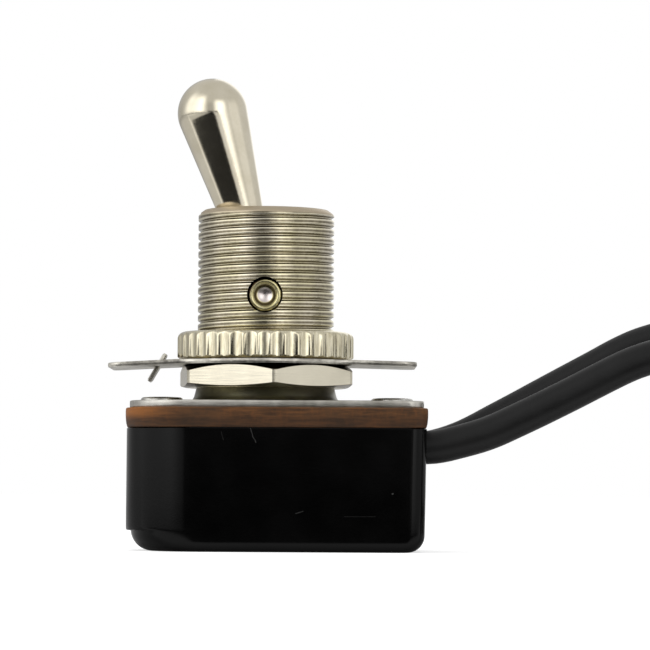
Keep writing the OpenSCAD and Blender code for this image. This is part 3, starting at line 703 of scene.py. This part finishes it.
def tongue_quarter(tip, inset):
    """A quarter of the legend plate's outline, drawn in by inset: from the middle of a tongue's
    end at tip, round its corner and the fillet, to the top of the disc."""
    disc, half, fillet = LEGEND_DISC_R - inset, TONGUE_HALF - inset, FILLET_R + inset
    tip, corner = tip - inset, TONGUE_CORNER_R
    fillet_y = half + fillet
    fillet_x = sqrt((disc + fillet) ** 2 - fillet_y ** 2)
    meet = atan(fillet_y / fillet_x)
    corner_turn = np.linspace(0, np.pi / 2, 10)
    fillet_turn = np.linspace(-np.pi / 2, meet - np.pi, 16)
    disc_turn = np.linspace(meet, np.pi / 2, 24)[1:]
    end = np.array([(tip, y) for y in np.linspace(0, half - corner, 8)[:-1]])
    round_end = np.stack([tip - corner + corner * np.cos(corner_turn),
                          half - corner + corner * np.sin(corner_turn)], axis=-1)
    bend = np.stack([fillet_x + fillet * np.cos(fillet_turn), fillet_y + fillet * np.sin(fillet_turn)],
                    axis=-1)
    straight = np.linspace(round_end[-1], bend[0], 8)[1:-1]
    rim = disc * np.stack([np.cos(disc_turn), np.sin(disc_turn)], axis=-1)
    return np.vstack([end, round_end, straight, bend, rim])


def legend_outline(inset):
    """A disc with two tongues blended by fillets, drawn in by inset, anticlockwise from the right."""
    right = tongue_quarter(TONGUE_RIGHT, inset)
    left = tongue_quarter(TONGUE_LEFT, inset) * (-1, 1)
    return np.vstack([right, left[-2::-1], (left * (1, -1))[1:], (right * (1, -1))[-2:0:-1]])


def tilted(points, lean, x, z):
    """Points leant to the right by lean degrees about the y axis, and then moved to x and z."""
    lean = radians(lean)
    return np.stack([x + points[..., 0] * cos(lean) + points[..., 2] * sin(lean), points[..., 1],
                     z + points[..., 2] * cos(lean) - points[..., 0] * sin(lean)], axis=-1)


satin = Finish("satin_plate", roughness=0.4, metallic=1.0)
sheared = satin.place.stretched(0.5, 0.5, 1.4).noise(3.5, 4, 0.65)
glints = satin.place.noise(0.45, 4, 0.6).step(0.4, 0.6)
patchy = 0.5 * sheared.step(0.3, 0.7) + 0.5 * glints
satin.feed(base_color=patchy.blend(rgb(142, 138, 130), rgb(232, 228, 216)), roughness=0.24 + 0.24 * sheared)
satin.bump(0.02 * sheared)
legend = washer(legend_outline, LEGEND_EDGE, LEGEND_BOTTOM, LEGEND_BOTTOM + LEGEND_T, LEGEND_HOLE_R)
legend[..., 2] -= np.maximum(-legend[..., 0] - BEND_X, 0) * tan(radians(DROOP_LEFT))
legend[..., 2] -= np.maximum(legend[..., 0] - BEND_X, 0) * tan(radians(DROOP_RIGHT))
skin("legend_plate_body", legend, satin, "legend_metal", stands_for=("legend_plate",), loop=True, sharp=50)
# The tang's rings up its length, drawn in at both tips.
tang_outline = plan(TANG_HALF_T, TANG_HALF_T, TANG_WIDTH, 0.1, 0.1, 6, 4)
tang = np.array([raised(tang_outline * (size, 1 - 0.12 * (1 - size)), z)
                 for size, z in ((0.55, -1.9), (1, -1.72), (1, 0.75), (0.6, 0.9))])
skin("legend_tang", tilted(tang, TANG_TILT, TANG_X, LEGEND_BOTTOM + LEGEND_T / 2), satin, "legend_metal")

# ---- ring nut ----
# A turned brass ring, nickel plated, with forty straight flutes milled round it to grip by. Its
# top edge is rounded and its lower edge chamfered.
RING_BOTTOM = 16.47
RING_R = 7.68
FLUTES, FLUTE_R, FLUTE_DEPTH = 40, 1.15, 0.155
RING_EDGE = 0.6
RING_CHAMFER, RING_CHAMFER_H = 0.5, 0.32


def ring_rings():
    """Columns round the ring: the side is the flute's circle where that is inside the blank, and
    both are held inside the turned edges."""
    turn = full_turn(FLUTES * 16)
    pitch = 2 * np.pi / FLUTES
    off = np.mod(turn + pitch / 2, pitch) - pitch / 2
    centre = RING_R + FLUTE_R - FLUTE_DEPTH
    half_chord = np.sqrt(np.maximum(FLUTE_R ** 2 - (centre * np.sin(off)) ** 2, 0))
    side = np.minimum(centre * np.cos(off) - half_chord, RING_R)
    limits = [(RING_R - RING_CHAMFER * (1 - (rise / RING_CHAMFER_H) ** 0.8), RING_BOTTOM + rise)
              for rise in np.linspace(0, RING_CHAMFER_H, 7)]
    limits += arc(RING_R - RING_EDGE, RING_TOP - RING_EDGE, RING_EDGE, 90, 0, 11)
    return turned([(NUT_BORE, RING_BOTTOM + 0.15), (NUT_BORE + 0.15, RING_BOTTOM)]
                  + [(np.minimum(side, limit), z) for limit, z in limits]
                  + [(NUT_BORE + 0.35, RING_TOP), (NUT_BORE, RING_TOP - 0.3)], turn)


ring_metal = Finish("ring_nickel", roughness=0.12, metallic=1.0)
drag = ring_metal.place.stretched(3, 3, 0.5).noise(1.6, 4, 0.6)
tone = 0.6 * drag.step(0.3, 0.7) + 0.4 * ring_metal.place.noise(0.5, 3)
ring_metal.feed(base_color=tone.blend(rgb(190, 180, 150), rgb(240, 233, 208)), roughness=0.08 + 0.1 * drag)
ring_metal.bump(0.006 * drag)
skin("ring_nut_body", ring_rings(), ring_metal, "nickel", stands_for=("knurled_nut",), loop=True, sharp=30)

# ---- pivot pin ----
# A plain brass pin pressed through the bushing. Each end is chamfered inside its hole, and a
# round punch has dished its middle and raised a bead round the dish.
PIN_R, PIN_REACH = 1.5, 5.62

brass = Finish("pin_brass", roughness=0.26, metallic=1.0)
x, _, z = brass.place.in_mm()
reach = diagonal(x, z - PIVOT_Z)
metal = brass.place.noise(1.2, 3).step(0.35, 0.7).blend(rgb(200, 190, 142), rgb(232, 224, 180))
metal = (1 - reach.step(0.58, 0.7)).blend(metal, rgb(226, 216, 212))
metal = (reach.step(0.64, 0.74) * (1 - reach.step(0.88, 1.0))).blend(metal, rgb(92, 80, 52))
# Painted shade: outside a circle set a little right of and below the middle, the pin's chamfered edge is
# dark brown, as in the gap of its hole, widest at the upper left.
gap_shade = diagonal(x - 0.11, z - (PIVOT_Z - 0.1)).step(1.35, 1.41)
brass.feed(base_color=gap_shade.blend(metal, rgb(58, 44, 32)), roughness=0.2 + 0.2 * brass.place.noise(4, 3))
brass.bump(0.008 * brass.place.noise(5, 3))
end = arc(0, PIN_REACH + 0.9, 1.2, 180, 147, 10) + [(0.8, PIN_REACH - 0.08)]
end += [(1.19 - 0.21 * cos(a), PIN_REACH - 0.12 + 0.17 * sin(a))
        for a in np.radians(np.linspace(10, 160, 12))]
end += [(1.44, PIN_REACH - 0.22), (PIN_R, PIN_REACH - 0.45), (PIN_R, PIN_REACH - 0.9),
        (PIN_HOLE_R, PIN_REACH - 1.0), (PIN_HOLE_R, PIN_REACH - 1.3)]
pin = turned(end + [(radius, -z) for radius, z in end[::-1]], full_turn(64))
pin = np.stack([pin[..., 0], -pin[..., 2], pin[..., 1] + PIVOT_Z], axis=-1)
skin("pivot_pin_body", pin, brass, "brass", stands_for=("pivot_pin",))

# ---- lever ----
# Turned from brass in one piece, nickel plated and polished: the round tip, the tapered shank,
# the ball it swings on, and a drilled tail that holds the plunger.
BALL_R = 3.05
REACH = 16.85
TAPER = 7.12
SHANK_FOOT = 3.6
FULCRUM_R, FULCRUM_END = 4.1, 154
LEVER_TAIL_R, LEVER_TAIL_END = 1.75, -10.0
LEVER_BORE_R, LEVER_BORE_END = 1.15, -2.6
LEAN = 16.45

polished = Finish("polished_nickel", roughness=0.15, metallic=1.0)
wear = polished.place.noise(0.45, 4)
grit = polished.place.noise(3.2, 4, 0.65)
warm = 0.6 * wear.step(0.3, 0.7) + 0.4 * grit
polished.feed(base_color=warm.blend(rgb(214, 205, 182), rgb(234, 226, 206)),
              roughness=0.07 + 0.04 * wear + 0.06 * grit)
polished.bump(0.003 * grit)
tip = arc(0, REACH, BALL_R, 0, 90 + TAPER, 40)
tip_r, tip_z = tip[-1]
shank = [(tip_r - (tip_z - z) * tan(radians(TAPER)), z) for z in np.linspace(tip_z - 0.4, SHANK_FOOT, 24)]
fulcrum_from = degrees(np.arccos((SHANK_FOOT - 0.35) / FULCRUM_R))
fulcrum = arc(0, 0, FULCRUM_R, fulcrum_from, FULCRUM_END, 30)
drilled = [(LEVER_TAIL_R, -4.0), (LEVER_TAIL_R, LEVER_TAIL_END + 0.2), (LEVER_TAIL_R - 0.15, LEVER_TAIL_END),
           (LEVER_BORE_R, LEVER_TAIL_END), (LEVER_BORE_R, LEVER_BORE_END), (0.0, LEVER_BORE_END)]


def on_lever(points):
    """Points given from the pivot along the lever, turned to its lean."""
    return tilted(points, -LEAN, 0.0, PIVOT_Z)


skin("lever_body", on_lever(turned(tip + shank + fulcrum + drilled, full_turn(96))), polished, "nickel",
     stands_for=("toggle_lever",), rides="lever", sharp=40)

# ---- plunger spring ----
# Five turns of 0.3 mm spring wire between the plunger's top and the end of the bore in the lever's tail.
SPRING_R, SPRING_WIRE_R, SPRING_TURNS = 0.85, 0.15, 5
SPRING_FOOT, SPRING_HEAD = -6.0, LEVER_BORE_END

wire = Finish("spring_wire", roughness=0.3, metallic=1.0)
wire.feed(base_color=wire.place.noise(3, 2).step(0.3, 0.7).blend(rgb(120, 120, 122), rgb(164, 164, 166)))
turn = np.linspace(0, 2 * np.pi * SPRING_TURNS, 24 * SPRING_TURNS + 1)
rise = np.linspace(SPRING_FOOT + SPRING_WIRE_R, SPRING_HEAD - SPRING_WIRE_R, len(turn))
coil = np.stack([SPRING_R * np.cos(turn), SPRING_R * np.sin(turn), rise], axis=-1)
spring = skin("plunger_spring_coil", on_lever(sleeve(coil, SPRING_WIRE_R, 10)), wire, "spring_steel",
              stands_for=("plunger_spring",), rides=None, sharp=50)
foot, head = on_lever(np.array([[0, 0, SPRING_FOOT], [0, 0, SPRING_HEAD]])) * MM
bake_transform(spring)

# ---- plunger, rocker and contacts ----
# Hidden in the case: an acetal plunger, the dished brass rocker with its silver stud, the two
# stamped terminals, and the crimped ends of the leads. They keep their solids' shapes.
acetal = Finish("acetal", roughness=0.45)
creamy = acetal.place.noise(0.8, 3).step(0.3, 0.7)
acetal.feed(base_color=creamy.blend(rgb(214, 206, 184), rgb(228, 221, 202)))
acetal.bump(0.004 * acetal.place.noise(5, 2))
stamped = Finish("stamped_brass", roughness=0.3, metallic=1.0)
rolled = stamped.place.stretched(0.3, 2.0, 1.0).noise(3, 3)
stamped.feed(base_color=rolled.step(0.3, 0.7).blend(rgb(186, 146, 70), rgb(212, 174, 96)),
             roughness=0.22 + 0.2 * rolled)
silver = Finish("contact_silver", roughness=0.25, metallic=1.0)
tarnish = silver.place.noise(2, 3).step(0.3, 0.7)
silver.feed(base_color=tarnish.blend(rgb(196, 196, 194), rgb(224, 224, 222)))
INSIDE = {"plunger": acetal, "moving_contact": silver, "fixed_contact": silver, "contact_core": tinned,
          "common_core": tinned, "contact_rocker": stamped, "contact_terminal": stamped,
          "common_terminal": stamped, "contact_ferrule": stamped, "common_ferrule": stamped}
for node, finish in INSIDE.items():
    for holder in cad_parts[node].material_slots:
        holder.material = finish.material

# ---- floor and light ----
# A white table, a soft lamp above and another at the left, and a tent round it all with a bright
# panel at each side of the front. Between the panels, and on the table before the object, metal
# mirrors the dark of the room, so it shows a dark band between its bright sides.
TABLE_HALF = 3000 * MM


def emptied(holder):
    """A material or world without its nodes: what makes new ones there, and its camera, glossy
    and transmission rays."""
    holder.use_nodes = True
    holder.node_tree.nodes.clear()
    maker = Pattern(holder.node_tree)
    return maker, [maker.node("LightPath", output=f"Is {kind} Ray")
                   for kind in ("Camera", "Glossy", "Transmission")]


def grey(level):
    """An opaque grey of that linear level."""
    return (level, level, level, 1.0)


def between(value, low, high, soft):
    """1 between low and high, falling smoothly to 0 over soft at each end."""
    half = soft / 2
    return value.step(low - half, low + half) * (1 - value.step(high - half, high + half))


corners = [(-TABLE_HALF, -TABLE_HALF, 0), (TABLE_HALF, -TABLE_HALF, 0),
           (TABLE_HALF, TABLE_HALF, 0), (-TABLE_HALF, TABLE_HALF, 0)]
table_mesh = bpy.data.meshes.new("table")
table_mesh.from_pydata(corners, [], [(0, 1, 2, 3)])
white_table = bpy.data.materials.new("white_table")
table_mesh.materials.append(white_table)
added("table", table_mesh)

# The table as the camera and mirroring metal see it, and the plain white one that lights the rest.
# In a mirror it is dark in front, bright at the right, and glows in a strip before the object's foot.
maker, (camera_ray, glossy_ray, through_ray) = emptied(white_table)
x, y, _ = maker.node("TexCoord", output="Object").in_mm()
dark = glossy_ray * (1 - y.step(-34, -10)) * between(x, -108, 62, 18)
near_edge = glossy_ray * y.step(-26, -14) * (1 - y.step(-9, -7))
sunny = glossy_ray * x.step(50, 90) * (1 - y.step(-150, -60))
lit = maker.node("BsdfDiffuse", None, {
    "Color": (1 - dark).blend(grey(0.02), sunny.blend(grey(0.5), grey(0.95)))})
glow = 0.66 * (1 - dark) * (1 - glossy_ray) + 0.35 * near_edge
glow = maker.node("Emission", None, {"Color": grey(1.0), "Strength": glow})
shown = maker.node("AddShader", None, {0: lit, 1: glow})
plain = maker.node("BsdfDiffuse", None, {"Color": grey(0.8)})
surface = maker.node("MixShader", None, {0: camera_ray + glossy_ray + through_ray, 1: plain, 2: shown})
maker.node("OutputMaterial", None, {"Surface": surface})

# The tent by bearing, in degrees to the right of the front, and by climb in degrees above level.
world = bpy.data.worlds.new("tent")
bpy.context.scene.world = world
maker, (camera_ray, glossy_ray, through_ray) = emptied(world)
x, y, z = maker.node("TexCoord", output="Generated").parts()
bearing = x.math("ARCTAN2", 0 - y) * (180 / np.pi)
climb = z.math("ARCSINE") * (180 / np.pi)
left_panel = between(bearing, -97, -28, 26) * climb.step(-9, 8) * (1 - climb.step(32, 62))
left_panel = left_panel * (0.75 + 0.7 * bearing.step(-75, -35))
right_panel = between(bearing, 9, 46, 18) * climb.step(-9, 1) * (1 - climb.step(24, 46))
right_panel = right_panel * (1.35 - 0.6 * bearing.step(20, 48))
right_wall = between(bearing, 56, 96, 16) * (1 - climb.step(20, 40))
behind_right = bearing.step(140, 165) * (1 - climb.step(26, 46))
behind_left = (1 - bearing.step(-125, -100)) * (1 - climb.step(5, 50))
dark_front = between(bearing, -15, 20, 6) * (1 - 0.75 * climb.step(0, 5)) * (1 - climb.step(22, 40))
tent = 0.67 + left_panel.math("MAXIMUM", right_panel) + 0.2 * right_wall
tent = (tent + 0.5 * behind_right - 0.2 * behind_left) * (1 - 0.97 * dark_front)
seen = (camera_ray + through_ray + glossy_ray).math("MINIMUM", 1.0)
strength = camera_ray + through_ray + glossy_ray * tent + 0.75 * (1 - seen)
light = maker.node("Background", None, {"Color": grey(1.0), "Strength": strength})
maker.node("OutputWorld", None, {"Surface": light})

for name, place, aim, size, power in (("top", (-60, -40, 420), (0, 0, 10), 300, 1.1),
                                      ("left", (-330, -120, 160), (0, 0, 15), 220, 0.5)):
    lamp = bpy.data.lights.new(name, "AREA")
    lamp.shape, lamp.size, lamp.energy = "SQUARE", size * MM, power
    holder = added(name, lamp)
    holder.location = [part * MM for part in place]
    holder.visible_glossy = False
    toward = np.array(aim, float) - place
    yaw = np.arctan2(toward[0], -toward[1])
    holder.rotation_euler = (np.arccos(-toward[2] / np.linalg.norm(toward)), 0, yaw)
bpy.context.scene.view_settings.view_transform = "Standard"
